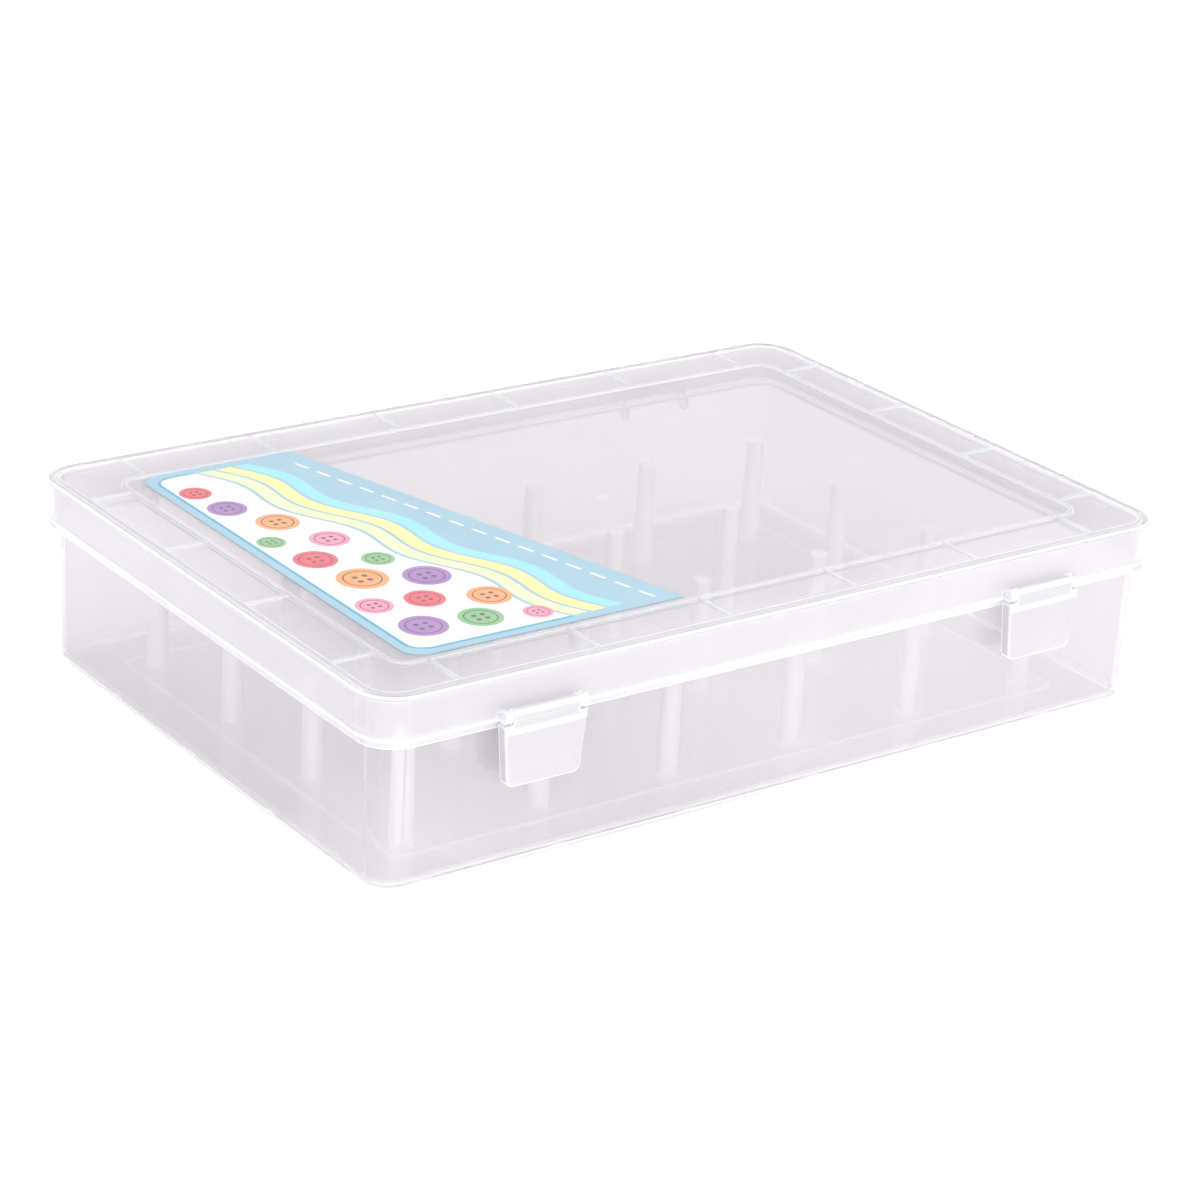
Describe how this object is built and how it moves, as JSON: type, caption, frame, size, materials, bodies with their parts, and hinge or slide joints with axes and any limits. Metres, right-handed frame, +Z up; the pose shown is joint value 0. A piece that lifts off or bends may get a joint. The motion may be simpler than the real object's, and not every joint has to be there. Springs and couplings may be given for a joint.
{
  "type": "thread spool storage box",
  "caption": "Clear rectangular sewing box with a rear-hinged lid, front flap latches, a printed label and rows of upright pegs that each hold one thread spool.",
  "frame": {"origin": "middle of the footprint, on the surface that the box stands on", "axes": "+X along the box's length to the right, +Y to the hinged rear, +Z up; the latches face -Y"},
  "size_m": [0.26, 0.1879, 0.0554],
  "materials": {
    "clear_polypropylene": "clear moulded, faintly lilac, glossy",
    "milky_peg": "milky moulded, satin",
    "milky_latch": "milky moulded, glossy",
    "printed_film": "printed film, satin"
  },
  "bodies": {
    "base": {"tub": "clear_polypropylene", "spool_peg_row1_column1": "milky_peg", "spool_peg_row1_column2": "milky_peg", "spool_peg_row1_column3": "milky_peg", "spool_peg_row1_column4": "milky_peg", "spool_peg_row1_column5": "milky_peg", "spool_peg_row1_column6": "milky_peg", "spool_peg_row2_column1": "milky_peg", "spool_peg_row2_column2": "milky_peg", "spool_peg_row2_column3": "milky_peg", "spool_peg_row2_column4": "milky_peg", "spool_peg_row2_column5": "milky_peg", "spool_peg_row2_column6": "milky_peg", "spool_peg_row3_column1": "milky_peg", "spool_peg_row3_column2": "milky_peg", "spool_peg_row3_column3": "milky_peg", "spool_peg_row3_column4": "milky_peg", "spool_peg_row3_column5": "milky_peg", "spool_peg_row3_column6": "milky_peg", "spool_peg_row4_column1": "milky_peg", "spool_peg_row4_column2": "milky_peg", "spool_peg_row4_column3": "milky_peg", "spool_peg_row4_column4": "milky_peg", "spool_peg_row4_column5": "milky_peg", "spool_peg_row4_column6": "milky_peg"},
    "lid": {"lid": "clear_polypropylene", "lid_label": "printed_film"},
    "latch_left": {"latch_left": "milky_latch"},
    "latch_right": {"latch_right": "milky_latch"}
  },
  "joints": [
    {"name": "lid_hinge", "type": "hinge", "parent": "base", "child": "lid", "pos_m": [0, 0.09215, 0.0441], "axis": [-1, 0, 0], "range_deg": [0, 180]},
    {"name": "latch_left_hinge", "type": "hinge", "parent": "lid", "child": "latch_left", "pos_m": [-0.0826, -0.09215, 0.045], "axis": [-1, 0, 0], "range_deg": [0, 170]},
    {"name": "latch_right_hinge", "type": "hinge", "parent": "lid", "child": "latch_right", "pos_m": [0.0826, -0.09215, 0.045], "axis": [-1, 0, 0], "range_deg": [0, 170]}
  ]
}
